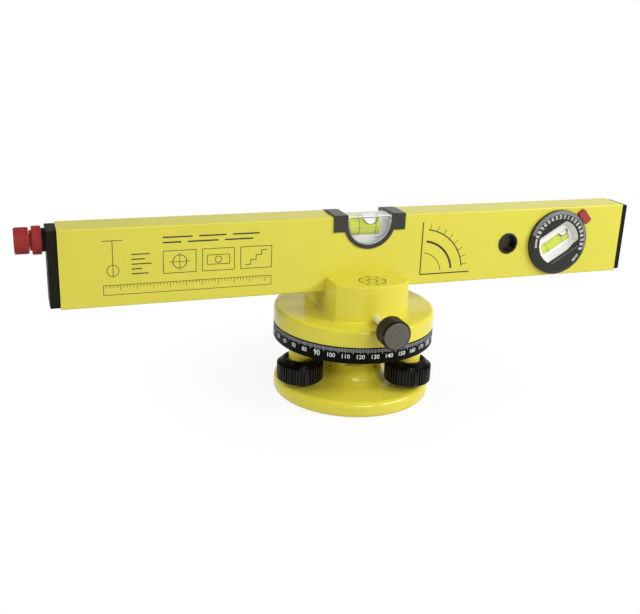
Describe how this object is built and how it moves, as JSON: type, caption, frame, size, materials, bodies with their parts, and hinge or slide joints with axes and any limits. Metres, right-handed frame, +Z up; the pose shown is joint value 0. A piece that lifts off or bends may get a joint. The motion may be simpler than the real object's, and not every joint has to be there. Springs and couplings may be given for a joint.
{
  "type": "laser spirit level",
  "caption": "Box-section laser spirit level with a top bubble vial and an angle dial, swivelling on a round levelling base with hand wheels, a degree ring and a tripod thread.",
  "frame": {"origin": "centre of the base plate's underside, on the swivel axis and at the mouth of the tripod thread", "axes": "+X along the beam away from the laser end, +Y to the back, +Z up; the clamp knob, hole plug and index tab face -Y"},
  "size_m": [0.4177, 0.1279, 0.1243],
  "materials": {
    "yellow_moulding": "smooth gloss",
    "yellow_paint": "powder coat, fine satin",
    "black_plastic": "moulded satin",
    "grey_insert": "satin",
    "red_plastic": "moulded semi-gloss",
    "white_plastic": "satin",
    "clear_acrylic": "polished",
    "vial_fluid": "clear liquid",
    "optical_glass": "polished",
    "steel": "turned",
    "spring_steel": "drawn wire",
    "brass": "turned",
    "aluminium": "machined",
    "cell_jacket": "printed film, plain",
    "board_green": "lacquered"
  },
  "bodies": {
    "base": {"base_plate": "yellow_moulding", "tripod_bush": "brass", "tie_bolt": "steel", "tie_nut": "steel"},
    "left_wheel": {"levelling_wheel_left": "black_plastic", "foot_screw_left": "steel"},
    "right_wheel": {"levelling_wheel_right": "black_plastic", "foot_screw_right": "steel"},
    "back_wheel": {"levelling_wheel_back": "black_plastic", "foot_screw_back": "steel"},
    "left_nut": {"swivel_nut_left": "brass"},
    "right_nut": {"swivel_nut_right": "brass"},
    "levelling_plate": {"tribrach_plate": "yellow_moulding", "swivel_nut_back": "brass", "scale_ring": "black_plastic", "spindle": "aluminium", "glide_ring": "white_plastic", "tension_spring": "spring_steel"},
    "head": {"turret_head": "yellow_moulding", "beam": "yellow_paint", "beam_screw_left": "steel", "beam_screw_right": "steel", "nut_plate": "aluminium", "left_end_cap": "black_plastic", "right_end_cap": "black_plastic", "vial_frame": "black_plastic", "vial_block": "clear_acrylic", "vial_liquid": "vial_fluid", "vial_plug": "clear_acrylic", "hole_plug": "black_plastic", "index_tab": "red_plastic", "battery_tube": "black_plastic", "battery_cell_front": "cell_jacket", "battery_cell_rear": "cell_jacket", "rear_contact": "spring_steel", "laser_chassis": "black_plastic", "laser_housing": "brass", "collimator_lens": "optical_glass", "aperture_window": "optical_glass", "laser_diode": "steel", "circuit_board": "board_green"},
    "clamp": {"clamp_screw": "steel", "clamp_knob": "black_plastic", "knob_insert": "grey_insert"},
    "cap": {"battery_cap": "red_plastic", "switch_stem": "red_plastic", "contact_spring": "spring_steel"},
    "switch": {"switch_knob": "red_plastic"},
    "dial": {"dial_bezel": "black_plastic", "dial_cover": "black_plastic", "dial_reflector": "white_plastic", "angle_vial_block": "clear_acrylic", "angle_vial_liquid": "vial_fluid", "angle_vial_plug": "clear_acrylic"}
  },
  "joints": [
    {"name": "left_wheel_turn", "type": "hinge", "parent": "base", "child": "left_wheel", "pos_m": [-0.04036, -0.01006, 0.0199], "axis": [0, 0, 1], "range_deg": [-720, 720]},
    {"name": "right_wheel_turn", "type": "hinge", "parent": "base", "child": "right_wheel", "pos_m": [0.0289, -0.02992, 0.0199], "axis": [0, 0, 1], "range_deg": [-720, 720]},
    {"name": "back_wheel_turn", "type": "hinge", "parent": "base", "child": "back_wheel", "pos_m": [0.01147, 0.03999, 0.0199], "axis": [0, 0, 1], "range_deg": [-720, 720]},
    {"name": "left_corner_tilt", "type": "hinge", "parent": "base", "child": "left_nut", "pos_m": [0.02018, 0.00503, 0.0315], "axis": [-0.2419, 0.9703, 0], "range_deg": [-1.85, 1.85], "deforming": ["tension_spring"]},
    {"name": "right_corner_tilt", "type": "hinge", "parent": "left_nut", "child": "right_nut", "pos_m": [-0.01445, 0.01496, 0.0315], "axis": [-0.7193, -0.6947, 0], "range_deg": [-1.85, 1.85], "deforming": ["tension_spring"]},
    {"name": "back_corner_tilt", "type": "hinge", "parent": "right_nut", "child": "levelling_plate", "pos_m": [-0.00573, -0.01999, 0.0315], "axis": [0.9613, -0.2756, 0], "range_deg": [-1.85, 1.85], "deforming": ["tension_spring"]},
    {"name": "head_swivel", "type": "hinge", "parent": "levelling_plate", "child": "head", "pos_m": [0, 0, 0.049], "axis": [0, 0, 1], "continuous": true},
    {"name": "clamp_turn", "type": "hinge", "parent": "head", "child": "clamp", "pos_m": [0, -0.0605, 0.0629], "axis": [0, -1, 0], "range_deg": [0, 360]},
    {"name": "cap_off", "type": "slide", "parent": "head", "child": "cap", "axis": [-1, 0, 0], "range_m": [0, 0.025]},
    {"name": "switch_turn", "type": "hinge", "parent": "cap", "child": "switch", "pos_m": [-0.2102, 0, 0.1147], "axis": [-1, 0, 0], "range_deg": [0, 90]},
    {"name": "dial_turn", "type": "hinge", "parent": "head", "child": "dial", "pos_m": [0.1465, 0, 0.0985], "axis": [0, -1, 0], "continuous": true}
  ],
  "couplings": [
    {"joint": "left_corner_tilt", "follows": "left_wheel_turn", "ratio": -0.0025506},
    {"joint": "right_corner_tilt", "follows": "right_wheel_turn", "ratio": -0.0025506},
    {"joint": "back_corner_tilt", "follows": "back_wheel_turn", "ratio": -0.0025506}
  ]
}
